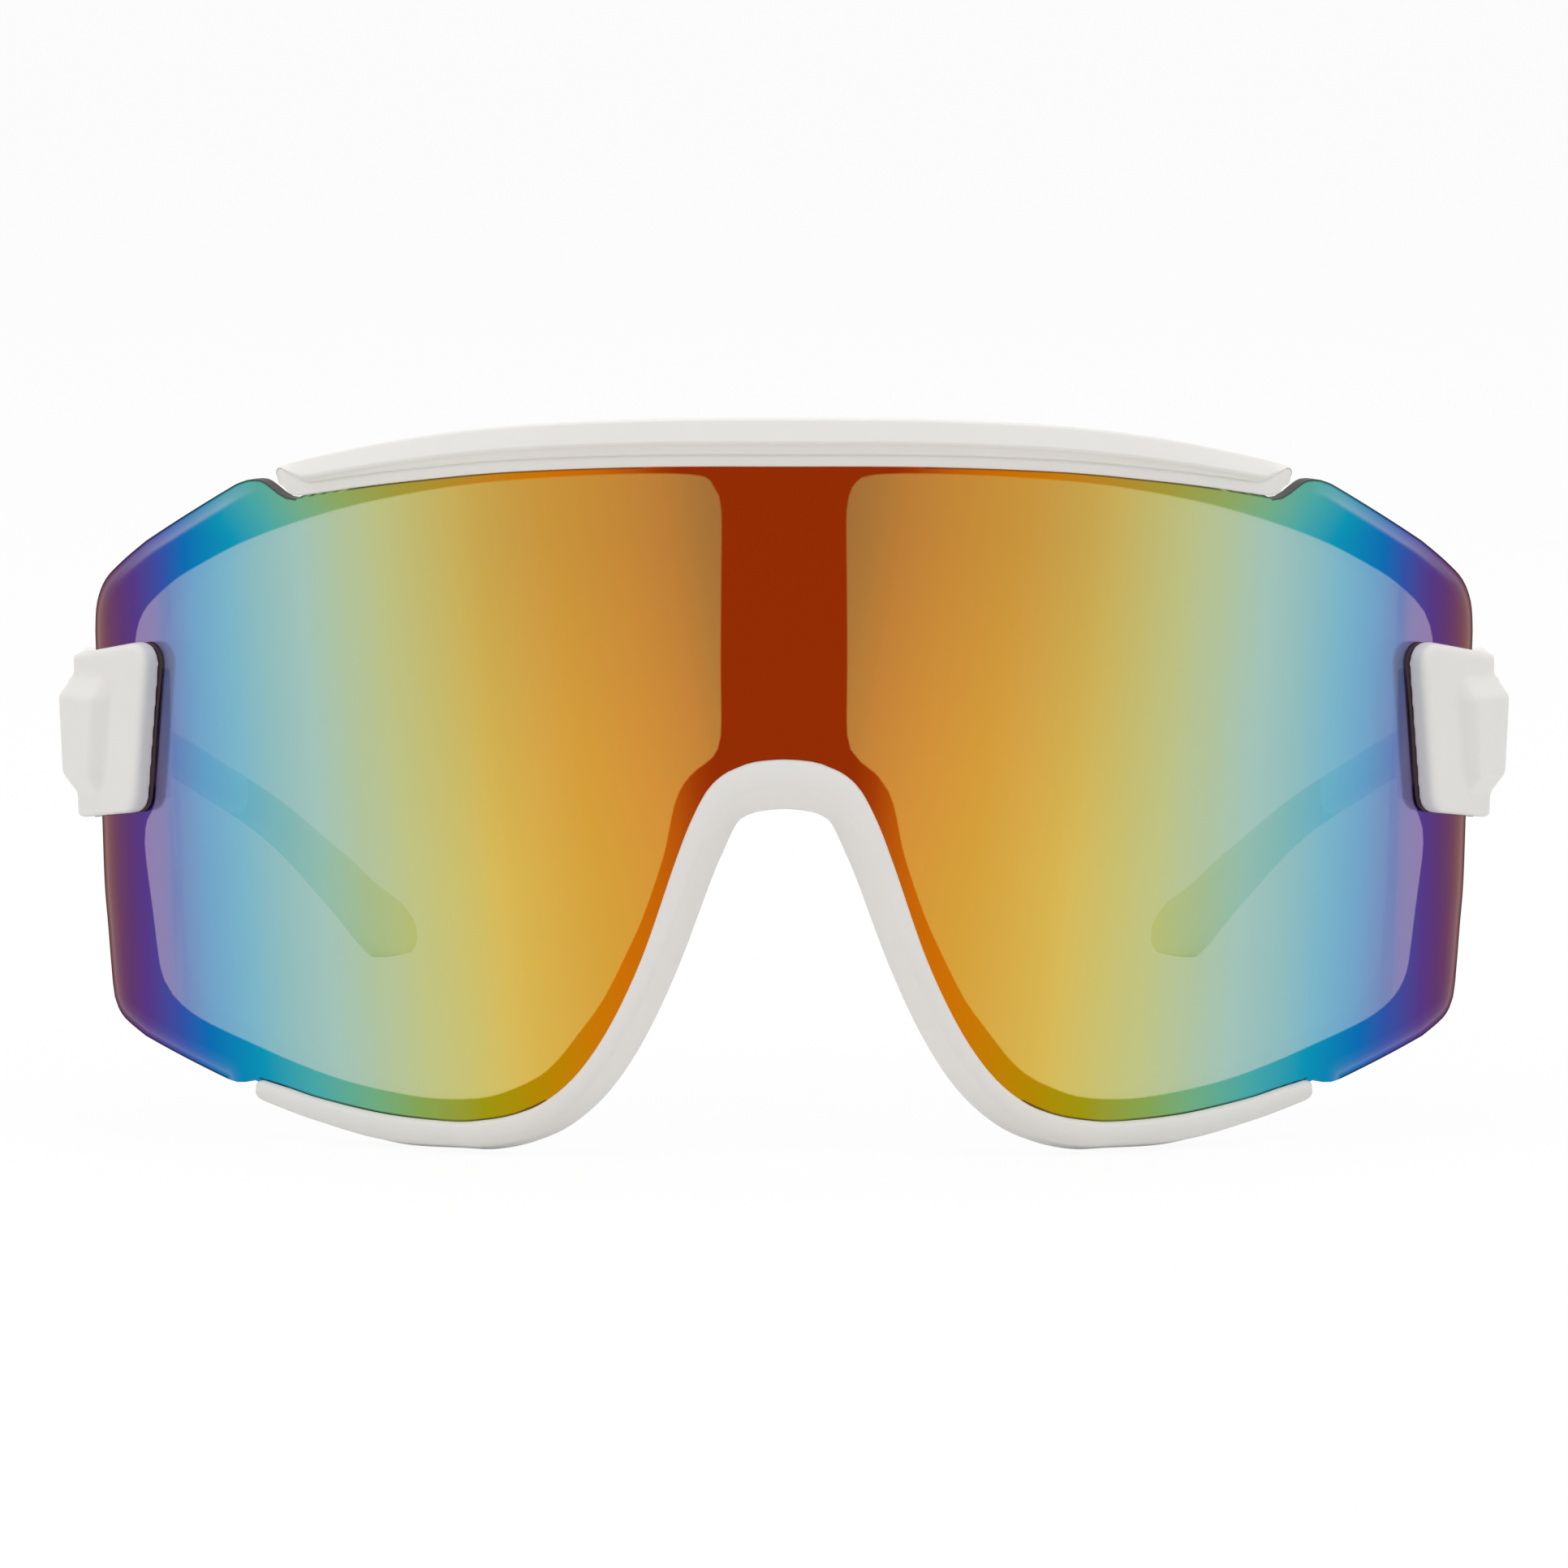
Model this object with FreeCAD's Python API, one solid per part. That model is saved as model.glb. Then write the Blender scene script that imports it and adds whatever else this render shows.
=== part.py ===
import FreeCAD
import Part
import math
import os

Vec = FreeCAD.Vector

# Shield sunglasses. Left is +X, the lens faces -Y, +Z is up, and the origin is the middle of the bottom.
# Flat places on the shield are given as (arc from the middle, height), wrapped on the lens's cylinder.

# Lens
lens_radius = 90.0
lens_thickness = 2.0
lens_half_arc = 82.0
view_height = 65.9
seat_depth = 1.3
seat_clearance = 0.1
middle_share = 0.8
side_edge_shares = [(0.899, 0.080), (0.932, 0.097), (0.949, 0.110), (0.966, 0.149), (0.977, 0.246),
                    (0.984, 0.313), (0.988, 0.416), (0.994, 0.547), (0.999, 0.678), (0.9997, 0.716),
                    (0.995, 0.754), (0.976, 0.790), (0.940, 0.821), (0.890, 0.857)]
lower_shoulder_shares = [(0.706, 0.035), (0.719, 0.029), (0.733, 0.0275), (0.750, 0.031)]
upper_shoulder_shares = [(0.729, 0.954), (0.709, 0.962), (0.691, 0.9625), (0.677, 0.955), (0.657, 0.946)]

# Lower rim: a row is a place on the lens's lower seam and the way from there to the rim's outer edge
rim_width = 3.5
rim_proud = 1.0
rim_back = 1.3
rim_chamfer = 0.4
rim_lip_share = 0.5
rim_seam_shares = [(0.0, 0.564), (0.035, 0.560), (0.054, 0.552), (0.074, 0.539), (0.093, 0.514),
                   (0.113, 0.464), (0.133, 0.398), (0.172, 0.258), (0.212, 0.152), (0.252, 0.079),
                   (0.293, 0.037), (0.334, 0.015), (0.376, 0.004), (0.418, 0.0), (0.506, 0.0065),
                   (0.599, 0.022), (0.648, 0.033), (0.695, 0.043)]
rim_way_shares = [(0.0, -1.56), (-0.19, -1.53), (-0.24, -1.46), (-0.41, -1.37), (-0.69, -1.17),
                  (-0.93, -0.77), (-1.0, -0.44), (-0.90, -0.38), (-0.83, -0.46), (-0.71, -0.62),
                  (-0.50, -0.80), (-0.30, -0.92), (-0.14, -0.97), (0.0, -1.0), (0.10, -1.0),
                  (0.15, -1.0), (0.15, -0.96), (0.10, -0.86)]

# Brow bar: a row is a place on the lens's upper seam and how much of the bar's extra height is there
brow_height = 5.1
brow_end_height = 2.9
brow_back = 2.2
brow_lip_proud = 1.1
brow_step_proud = 1.8
brow_crown_proud = 2.6
brow_step_inset = 1.2
brow_crown_inset = 2.1
brow_top_inset = 0.25
brow_end_inset = 0.8
brow_end_lean = 1.5
brow_chamfer = 0.3
brow_crown_chamfer = 0.5
brow_seam_shares = [(0.0, 1.0), (0.171, 0.998), (0.335, 0.988), (0.463, 0.969), (0.554, 0.952),
                    (0.640, 0.936)]
brow_extra_shares = [1.0, 0.89, 0.76, 0.52, 0.31, 0.0]

# End cover: bracket in front of the lens's side edge, with its wall beside the edge and its raised pad
bracket_width = 13.0
bracket_height = 17.2
bracket_level_share = 0.548
cover_thickness = 1.8
cover_fillet = 0.8
cover_corner = 2.1
cover_wall_gap = 0.4
cover_wall_depth = 1.0
cover_tilt = 0.7
pad_reach = 3.9
pad_rise = 1.6
gasket_thickness = 0.7
gasket_lip = 0.1
gasket_clearance = 0.05
butt_setback = 7.0
bracket_corner_shares = [(-0.90, 0.61), (-0.73, -0.431), (0.02, -0.512), (0.07, 0.476)]
pad_level_shares = [-0.437, -0.239, 0.226, 0.412]
pad_crease_shares = [0.48, 0.495, 0.58, 0.61]
pad_ramp_share = 0.23

# Hinge: block behind the lens, knuckles, pin and washers
block_thickness = 2.6
block_gap = 0.3
block_width = 6.3
block_height = 13.6
block_fillet = 0.4
hinge_inset = 2.1
hinge_setback = 8.7
knuckle_radius = 2.3
knuckle_height = 3.4
knuckle_span = 13.0
knuckle_gap = 0.25
pin_radius = 0.8
pin_fit = 0.05
pin_head_radius = 1.6
pin_head_height = 0.8
washer_thickness = 0.4
washer_play = 0.05
web_width = 4.0

# Clamp screws through block, lens and gasket into the cover's bosses
screw_radius = 0.6
screw_fit = 0.03
screw_head_radius = 1.3
screw_head_height = 0.9
screw_bite = 1.0
screw_span = 8.8
boss_radius = 1.25
boss_clearance = 0.15
screw_inset = 4.8

# Temple: a row is a place along it, how far in and down its middle lies, and its half height
temple_reach = 121.0
temple_sweep = 27.4
temple_height = 10.6
temple_thickness = 3.5
temple_gap = 0.25
temple_roundness = 3.2
section_points = 16
tip_first_index = 5
tongue_first_index = 4
tongue_last_index = 8
tongue_wall = 0.9
tongue_clearance = 0.05
temple_along_shares = [0.0, 0.107, 0.272, 0.363, 0.495, 0.619, 0.727, 0.822, 0.909, 0.958, 0.987, 1.0]
temple_in_shares = [0.0, 0.016, 0.078, 0.133, 0.238, 0.365, 0.503, 0.648, 0.80, 0.90, 0.963, 1.0]
temple_down_shares = [0.0, 0.021, 0.096, 0.171, 0.277, 0.393, 0.515, 0.661, 0.819, 0.909, 0.94, 0.952]
temple_height_shares = [1.0, 0.80, 0.51, 0.44, 0.43, 0.43, 0.455, 0.55, 0.69, 0.76, 0.58, 0.31]
temple_thickness_shares = [1.0, 0.97, 0.89, 0.86, 0.86, 0.88, 0.92, 0.97, 1.02, 1.02, 0.92, 0.66]

# Nose pads behind the rim's limbs
nose_pad_depth = 4.6
nose_pad_splay = 1.6
nose_pad_fillet = 0.5
nose_pad_gap = 0.05
nose_pad_first_index = 5
nose_pad_last_index = 10
nose_pad_side_shares = (0.15, 0.85)

# Room beyond a cut's faces, points on a wall, and how close counts as on a face
overrun = 6.0
fence_overrun = 0.5
wall_least_points = 3
wall_across_points = 10
near_share = 0.001
radial_share = 0.8

rim_base = rim_width
brow_top = rim_base + view_height + brow_height
edge_angle = lens_half_arc / lens_radius
edge_x = lens_radius * math.sin(edge_angle)
edge_drop = lens_radius * (1 - math.cos(edge_angle))
temple_start = edge_drop + butt_setback + temple_gap
overall_depth = brow_crown_proud + temple_start + temple_reach
apex_y = brow_crown_proud - overall_depth / 2
axis_y = apex_y + lens_radius
edge_y = apex_y + edge_drop
bracket_level = rim_base + bracket_level_share * view_height
hinge_x = edge_x - hinge_inset
hinge_y = edge_y + hinge_setback
butt_y = edge_y + butt_setback
cover_in = lens_radius + gasket_thickness
cover_out = cover_in + cover_thickness
block_out = lens_radius - lens_thickness - block_gap
block_in = block_out - block_thickness


def on_shield(s, z, r):
    angle = s / lens_radius
    return Vec(r * math.sin(angle), axis_y - r * math.cos(angle), z)


def flat(share_pairs):
    return [(a * lens_half_arc, rim_base + b * view_height) for a, b in share_pairs]


def mirrored(run):
    return [(-s, z) for s, z in reversed(run)]


def both_sides(run):
    return mirrored(run[1:]) + run


def spaced(run):
    # adds points on a two-point run, so that its wall bends with the shield
    if len(run) > 2:
        return run
    (s1, z1), (s2, z2) = run
    count = wall_least_points + int(wall_across_points * abs(s2 - s1) / lens_half_arc)
    steps = [i / (count - 1) for i in range(count)]
    return [(s1 + (s2 - s1) * t, z1 + (z2 - z1) * t) for t in steps]


def curve_at(run, r):
    lengths = [0.0]
    for (s1, z1), (s2, z2) in zip(run, run[1:]):
        lengths.append(lengths[-1] + math.hypot(s2 - s1, z2 - z1))
    curve = Part.BSplineCurve()
    places = [on_shield(s, z, r) for s, z in run]
    curve.interpolate(Points=places, Parameters=[v / lengths[-1] for v in lengths])
    return curve.toShape()


def fence(run_in, run_out, r_in, r_out):
    # radial wall whose line is run_in at r_in and run_out at r_out, carried on past both
    inner = spaced(run_in)
    outer = spaced(run_out)
    past = fence_overrun / (r_out - r_in)
    low = [(a + (a - c) * past, b + (b - d) * past) for (a, b), (c, d) in zip(inner, outer)]
    high = [(c + (c - a) * past, d + (d - b) * past) for (a, b), (c, d) in zip(inner, outer)]
    return Part.makeRuledSurface(curve_at(low, r_in - fence_overrun), curve_at(high, r_out + fence_overrun))


def tube(r_in, r_out, z_low, z_high):
    base = Vec(0, axis_y, z_low)
    outer = Part.makeCylinder(r_out, z_high - z_low, base, Vec(0, 0, 1))
    return outer.cut(Part.makeCylinder(r_in, z_high - z_low, base, Vec(0, 0, 1)))


def plate(runs_in, r_in, r_out, inside, runs_out=None):
    # solid between two radii, bounded by runs that follow each other round its outline
    pairs = zip(runs_in, runs_out or runs_in)
    walls = [fence(a, b, r_in, r_out) for a, b in pairs]
    shell = tube(r_in, r_out, -overrun, brow_top + overrun)
    pieces, history = shell.generalFuse(walls)
    target = on_shield(inside[0], inside[1], (r_in + r_out) / 2)
    return [s for s in pieces.Solids if s.isInside(target, near_share * seat_clearance, True)][0]


def around(points):
    return [[a, b] for a, b in zip(points, points[1:] + points[:1])]


def radius_of(point):
    return math.hypot(point.x, point.y - axis_y)


def edges_at(shape, r):
    def lies(edge):
        spots = [edge.valueAt(edge.FirstParameter + (edge.LastParameter - edge.FirstParameter) * t)
                 for t in (0, 0.5, 1)]
        return all(abs(radius_of(p) - r) < near_share * lens_radius for p in spots)
    return [e for e in shape.Edges if lies(e)]


def long_edges_at(shape, r):
    return [e for e in edges_at(shape, r) if e.Length > lens_half_arc]


def radial_edges(shape, r_in, r_out):
    depth = r_out - r_in
    ends = [(e, [radius_of(v.Point) for v in e.Vertexes]) for e in shape.Edges]
    return [e for e, r in ends if len(r) == 2 and abs(r[0] - r[1]) > radial_share * depth]


def prism(corners, z_low, z_high):
    wire = Part.makePolygon([Vec(x, y, z_low) for x, y in corners + corners[:1]])
    return Part.Face(wire).extrude(Vec(0, 0, z_high - z_low))


def upright(r, z_low, z_high):
    return Part.makeCylinder(r, z_high - z_low, Vec(hinge_x, hinge_y, z_low), Vec(0, 0, 1))


def plan(s, r):
    point = on_shield(s, 0, r)
    return (point.x, point.y)


def save(name, shape):
    shape.exportStep("parts/" + name + ".step")


def save_pair(name, shape):
    save(name + "_left", shape)
    save(name + "_right", shape.mirror(Vec(0, 0, 0), Vec(1, 0, 0)))


os.makedirs("parts", exist_ok=True)

# Seams of the lens with the rim below and the bar above
rim_seam = flat(rim_seam_shares)
rim_edge = [(s + rim_width * a, z + rim_width * b) for (s, z), (a, b) in zip(rim_seam, rim_way_shares)]
rim_lip = [(s + (a - s) * rim_lip_share, z + (b - z) * rim_lip_share)
           for (s, z), (a, b) in zip(rim_seam, rim_edge)]
rim_seat = [(s + (a - s) * seat_depth / rim_width, z + (b - z) * seat_depth / rim_width)
            for (s, z), (a, b) in zip(rim_seam, rim_edge)]
brow_seam = flat(brow_seam_shares)
brow_heights = [brow_end_height + (brow_height - brow_end_height) * v for v in brow_extra_shares]
shield_middle = (0, rim_base + view_height * middle_share)


def raised(run, amount):
    return [(s, z + amount) for s, z in run]


# Lens with its hidden tongues in the two grooves and its screw holes under the brackets
tongue_top = raised(brow_seam[:-1], seat_depth)
side = flat(side_edge_shares)
lower_shoulder = flat(lower_shoulder_shares)
upper_shoulder = flat(upper_shoulder_shares)
right_runs = [[rim_seat[-2], lower_shoulder[0]], lower_shoulder, [lower_shoulder[-1], side[0]], side,
              [side[-1], upper_shoulder[0]], upper_shoulder, [upper_shoulder[-1], tongue_top[-1]]]
lens_runs = ([both_sides(rim_seat[:-1])] + right_runs + [both_sides(tongue_top)]
             + [mirrored(run) for run in right_runs])
lens_blank = plate(lens_runs, lens_radius - lens_thickness, lens_radius, shield_middle)
screw_s = lens_half_arc - screw_inset
screw_levels = [bracket_level - screw_span / 2, bracket_level + screw_span / 2]


def screw_bore(s, z, r, r_low, r_high):
    direction = on_shield(s, z, 1) - on_shield(s, z, 0)
    return Part.makeCylinder(r, r_high - r_low, on_shield(s, z, r_low), direction)


def with_bores(shape, r, r_low, r_high, sides=(1, -1)):
    for sign in sides:
        for z in screw_levels:
            shape = shape.cut(screw_bore(sign * screw_s, z, r, r_low, r_high))
    return shape


hole_radius = boss_radius + boss_clearance
shield_lens = with_bores(lens_blank, hole_radius, lens_radius - overrun, lens_radius + overrun)
save("shield_lens", shield_lens)


def groove(seat_run, far_z, inside):
    # room for the lens on the far side of its seat line
    low_s, low_z = seat_run[0]
    high_s, high_z = seat_run[-1]
    corners = [(high_s, high_z), (high_s + overrun, high_z), (high_s + overrun, far_z),
               (low_s - overrun, far_z), (low_s - overrun, low_z), (low_s, low_z)]
    runs = [seat_run] + [[a, b] for a, b in zip(corners, corners[1:])]
    r_in = lens_radius - lens_thickness - seat_clearance
    return plate(runs, r_in, lens_radius + seat_clearance, inside)


# Lower rim: its front lip is narrow and its wall slopes out to the wider back
rim_in_r = lens_radius - lens_thickness - rim_back
rim_out_r = lens_radius + rim_proud
seam_run = both_sides(rim_seam)
edge_run = both_sides(rim_edge)
lip_run = both_sides(rim_lip)
rim_back_runs = [seam_run, [seam_run[-1], edge_run[-1]], edge_run, [seam_run[0], edge_run[0]]]
rim_front_runs = [seam_run, [seam_run[-1], lip_run[-1]], lip_run, [seam_run[0], lip_run[0]]]
rim_middle = (0, rim_seam[0][1] - rim_width * rim_lip_share / 2)
rim_blank = plate(rim_back_runs, rim_in_r, rim_out_r, rim_middle, rim_front_runs)
rim_soft = rim_blank.makeChamfer(rim_chamfer, long_edges_at(rim_blank, rim_out_r))
seat_grow = (seat_depth + seat_clearance) / rim_width
seat_run = both_sides([(s + (a - s) * seat_grow, z + (b - z) * seat_grow)
                       for (s, z), (a, b) in zip(rim_seam, rim_edge)])
lower_rim = rim_soft.cut(groove(seat_run, shield_middle[1], (0, rim_seam[0][1])))
save("lower_rim", lower_rim)


# Brow bar: three layers, each set in from the one behind it, over the groove for the lens
def brow_layer(r_in, r_out, bottom, top, end, chamfer):
    end_s = brow_seam[-1][0]
    low_grow = (end_s - end) / end_s
    high_grow = (end_s - end + brow_end_lean) / end_s
    low = both_sides([(s * low_grow, z + bottom) for s, z in brow_seam])
    high = both_sides([(s * high_grow, z + h - top) for (s, z), h in zip(brow_seam, brow_heights)])
    runs = [low, [low[-1], high[-1]], high, [low[0], high[0]]]
    layer = plate(runs, r_in, r_out, (0, brow_top - brow_height / 4))
    return layer.makeChamfer(chamfer, long_edges_at(layer, r_out))


brow_in_r = lens_radius - lens_thickness - brow_back
lip_r = lens_radius + brow_lip_proud
step_r = lens_radius + brow_step_proud
crown_r = lens_radius + brow_crown_proud
brow_lip = brow_layer(brow_in_r, lip_r, 0, brow_top_inset * 2, 0, brow_chamfer)
brow_step = brow_layer(brow_in_r + brow_back / 2, step_r, brow_step_inset, brow_top_inset, brow_end_inset,
                       brow_chamfer)
brow_crown = brow_layer(brow_in_r + brow_back / 4, crown_r, brow_crown_inset, 0, brow_end_inset * 2,
                        brow_crown_chamfer)
brow_seat = both_sides(raised(brow_seam, seat_depth + seat_clearance))
brow_bar = brow_lip.fuse([brow_step, brow_crown])
brow_bar = brow_bar.cut(groove(brow_seat, shield_middle[1], (0, brow_seam[0][1])))
save("brow_bar", brow_bar)

# End cover
corners = [(lens_half_arc + bracket_width * a, bracket_level + bracket_height * b)
           for a, b in bracket_corner_shares]
bracket_middle = (lens_half_arc - bracket_width / 2, bracket_level)
wall_top = corners[3][1]
wall_low = corners[2][1]
inner_x = hinge_x + knuckle_radius + knuckle_gap


def lean(z):
    return cover_tilt * (wall_top - z) / (wall_top - wall_low)


def level_wire(points, z):
    return Part.makePolygon([Vec(x - lean(z), y, z) for x, y in points + points[:1]])


def rows_solid(rows):
    wires = [level_wire(points, z) for points, z in rows]
    return Part.makeLoft(wires, True, True)


def bracket_plate(points, r_in, r_out):
    # the bracket's outline between two radii, with its two inner corners rounded
    flat_plate = plate(around(points), r_in, r_out, bracket_middle)
    ends = [e for e in radial_edges(flat_plate, r_in, r_out) if e.BoundBox.XMax < edge_x - cover_corner]
    return flat_plate.makeFillet(cover_corner, ends)


cover_plate = bracket_plate(corners, cover_in, cover_out)
cover_plate = cover_plate.makeFillet(cover_fillet, edges_at(cover_plate, cover_out))
root_r = cover_in + cover_thickness / 3
wall_s = lens_half_arc + cover_wall_gap
wall_front = plan(corners[3][0], cover_out - cover_fillet)
wall_points = [plan(wall_s, root_r), wall_front, (wall_front[0], butt_y), (inner_x, butt_y),
               plan(wall_s, lens_radius - cover_wall_depth)]
cover_wall = rows_solid([(wall_points, wall_low), (wall_points, wall_top)])
pad_r = cover_out + pad_rise
pad_x = edge_x + pad_reach


def pad_points(s, r, x):
    far_y = axis_y - math.sqrt(r * r - x * x)
    ramp = bracket_width * pad_ramp_share
    return [plan(s, root_r), plan(s + ramp, r), (x, far_y), (x, butt_y), (inner_x, butt_y),
            plan(wall_s, root_r)]


pad_rows = []
pad_sizes = [(cover_out - cover_fillet / 2, wall_front[0] - cover_fillet / 2), (pad_r, pad_x)]
for level, crease, (r, x) in zip(pad_level_shares, pad_crease_shares,
                                 [pad_sizes[0], pad_sizes[1], pad_sizes[1], pad_sizes[0]]):
    points = pad_points(lens_half_arc - bracket_width * crease, r, x)
    pad_rows.append((points, bracket_level + bracket_height * level))
cover_pad = rows_solid(pad_rows)
end_cover = cover_plate.fuse([cover_wall, cover_pad])
for z in screw_levels:
    end_cover = end_cover.fuse(screw_bore(screw_s, z, boss_radius, block_out + boss_clearance, root_r))
bite_r = cover_in + screw_bite
end_cover = with_bores(end_cover, screw_radius + screw_fit, block_out - overrun, bite_r + screw_fit, (1,))
save_pair("end_cover", end_cover)

# Gasket under the cover, showing as a dark line beside it
gasket_corners = [(s - gasket_lip, z) for s, z in corners[:2]] + corners[2:]
gasket_corners = [(min(s, lens_half_arc - gasket_lip), z) for s, z in gasket_corners]
gasket = bracket_plate(gasket_corners, lens_radius + gasket_clearance, cover_in - gasket_clearance)
gasket = with_bores(gasket, hole_radius, lens_radius - overrun, cover_in + overrun, (1,))
save_pair("lens_gasket", gasket)

# Hinge block behind the lens
block_s = lens_half_arc - cover_wall_gap
block_corners = [(block_s - block_width, bracket_level - block_height / 2),
                 (block_s, bracket_level - block_height / 2),
                 (block_s, bracket_level + block_height / 2),
                 (block_s - block_width, bracket_level + block_height / 2)]
hinge_block = plate(around(block_corners), block_in, block_out, bracket_middle)
hinge_block = hinge_block.makeFillet(block_fillet, edges_at(hinge_block, block_in))
knuckle_low = bracket_level - knuckle_span / 2
knuckle_high = bracket_level + knuckle_span / 2
slot_low = knuckle_low + knuckle_height
slot_high = knuckle_high - knuckle_height
web_r = (block_in + block_out) / 2
web_out = plan(block_s - block_fillet, web_r)
web_in = plan(block_s - web_width, web_r)
reach = Vec(hinge_x - web_out[0], hinge_y - web_out[1], 0).normalize()
aside = Vec(reach.y, -reach.x, 0) * knuckle_radius
web_corners = [web_in, web_out, (hinge_x + aside.x, hinge_y + aside.y),
               (hinge_x - aside.x, hinge_y - aside.y)]
hinge_block = hinge_block.fuse([prism(web_corners, knuckle_low, knuckle_high),
                                upright(knuckle_radius, knuckle_low, knuckle_high)])
hinge_block = hinge_block.cut(upright(knuckle_radius + knuckle_gap, slot_low, slot_high))
hinge_block = hinge_block.cut(upright(pin_radius + pin_fit, knuckle_low - overrun, knuckle_high + overrun))
hinge_block = with_bores(hinge_block, screw_radius + boss_clearance, block_in - overrun, block_out + overrun,
                         (1,))
hinge_block = with_bores(hinge_block, screw_head_radius + boss_clearance, block_in - overrun,
                         block_in + screw_head_height, (1,))
save_pair("hinge_block", hinge_block)

# Clamp screws, hinge pin and washers
head_r = block_in + screw_head_height
screws = [screw_bore(screw_s, z, screw_head_radius, block_in, head_r).fuse(
    screw_bore(screw_s, z, screw_radius, block_in, bite_r)) for z in screw_levels]
save_pair("clamp_screws", Part.makeCompound(screws))
pin = upright(pin_radius, knuckle_low, knuckle_high + pin_head_height)
pin = pin.fuse(upright(pin_head_radius, knuckle_high, knuckle_high + pin_head_height))
save_pair("hinge_screw", pin)
hole = upright(pin_radius + pin_fit, slot_low, slot_high)
washers = [upright(knuckle_radius, z, z + washer_thickness).cut(hole)
           for z in (slot_low + washer_play, slot_high - washer_play - washer_thickness)]
save_pair("hinge_washers", Part.makeCompound(washers))

# Temple and its rubber tip
temple_x = pad_x - temple_thickness / 2
temple_y = butt_y + temple_gap


def power(value, exponent):
    return math.copysign(abs(value) ** exponent, value)


def temple_section(row, inset):
    x = temple_x - temple_sweep * temple_in_shares[row]
    y = temple_y + temple_reach * temple_along_shares[row]
    z = bracket_level * (1 - temple_down_shares[row])
    half_x = temple_thickness * temple_thickness_shares[row] / 2 - inset
    half_z = temple_height * temple_height_shares[row] / 2 - inset
    places = []
    for i in range(section_points):
        turn = 2 * math.pi * i / section_points
        places.append(Vec(x + half_x * power(math.cos(turn), 2 / temple_roundness), y,
                          z + half_z * power(math.sin(turn), 2 / temple_roundness)))
    curve = Part.BSplineCurve()
    curve.interpolate(Points=places, PeriodicFlag=True)
    return Part.Wire(curve.toShape())


def temple_loft(first, last, inset):
    return Part.makeLoft([temple_section(row, inset) for row in range(first, last + 1)], True, False)


def half_space(y_low, y_high):
    return Part.makeBox(2 * edge_x, y_high - y_low, brow_top, Vec(0, y_low, 0))


arm = temple_loft(0, len(temple_along_shares) - 1, 0)
tip_y = temple_y + temple_reach * temple_along_shares[tip_first_index]
tongue = temple_loft(tongue_first_index, tongue_last_index, tongue_wall)
sleeve = temple_loft(tongue_first_index, tongue_last_index, tongue_wall - tongue_clearance)
ear_tip = arm.common(half_space(tip_y + tongue_clearance, tip_y + temple_reach)).cut(sleeve)
save_pair("ear_tip", ear_tip)
eye_low = slot_low + washer_thickness + 2 * washer_play
eye_high = slot_high - washer_thickness - 2 * washer_play
temple = arm.common(half_space(temple_y - overrun, tip_y)).fuse(tongue)
for z_low, z_high in ((knuckle_low - overrun, slot_low), (slot_high, knuckle_high + overrun)):
    temple = temple.cut(upright(knuckle_radius + knuckle_gap, z_low, z_high))
eye_web = [(hinge_x, hinge_y - knuckle_radius / 2), (temple_x, hinge_y - knuckle_radius / 2),
           (temple_x, hinge_y + knuckle_radius), (hinge_x, hinge_y + knuckle_radius)]
temple = temple.fuse([upright(knuckle_radius, eye_low, eye_high), prism(eye_web, eye_low, eye_high)])
temple = temple.cut(upright(pin_radius + pin_fit, knuckle_low - overrun, knuckle_high + overrun))
save_pair("temple", temple)

# Nose pads behind the limbs of the arch
limb_rows = range(nose_pad_first_index, nose_pad_last_index + 1)
pad_lines = []
for share in nose_pad_side_shares:
    pad_lines.append([(rim_seam[i][0] + (rim_edge[i][0] - rim_seam[i][0]) * share,
                       rim_seam[i][1] + (rim_edge[i][1] - rim_seam[i][1]) * share) for i in limb_rows])


def pad_loop(splay):
    first, second = [[(s + splay, z) for s, z in line] for line in pad_lines]
    return [first, [first[-1], second[-1]], second, [first[0], second[0]]]


pad_out_r = rim_in_r - nose_pad_gap
pad_in_r = pad_out_r - nose_pad_depth
middle = len(pad_lines[0]) // 2
pad_middle = ((pad_lines[0][middle][0] + pad_lines[1][middle][0]) / 2 + nose_pad_splay / 2,
              (pad_lines[0][middle][1] + pad_lines[1][middle][1]) / 2)
nose_pad = plate(pad_loop(nose_pad_splay), pad_in_r, pad_out_r, pad_middle, pad_loop(0))
nose_pad = nose_pad.makeFillet(nose_pad_fillet, edges_at(nose_pad, pad_in_r))
save_pair("nose_pad", nose_pad)
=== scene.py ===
import bpy
import math
import numpy as np
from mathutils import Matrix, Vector


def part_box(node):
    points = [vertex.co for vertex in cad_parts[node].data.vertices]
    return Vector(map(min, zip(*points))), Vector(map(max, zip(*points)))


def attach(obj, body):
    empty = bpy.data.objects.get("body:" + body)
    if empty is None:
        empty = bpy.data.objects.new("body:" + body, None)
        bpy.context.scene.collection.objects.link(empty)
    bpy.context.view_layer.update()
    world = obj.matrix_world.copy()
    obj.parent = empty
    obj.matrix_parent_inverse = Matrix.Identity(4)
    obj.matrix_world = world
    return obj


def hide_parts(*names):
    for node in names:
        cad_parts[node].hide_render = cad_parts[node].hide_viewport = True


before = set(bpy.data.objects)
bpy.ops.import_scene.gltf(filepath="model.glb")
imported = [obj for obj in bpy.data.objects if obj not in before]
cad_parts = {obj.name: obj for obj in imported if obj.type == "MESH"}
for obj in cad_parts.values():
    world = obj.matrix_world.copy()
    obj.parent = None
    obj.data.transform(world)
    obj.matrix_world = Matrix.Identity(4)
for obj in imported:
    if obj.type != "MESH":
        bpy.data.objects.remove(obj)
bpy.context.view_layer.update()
mm = 0.001
print("frame loaded:", len(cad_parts), "nodes")

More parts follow.
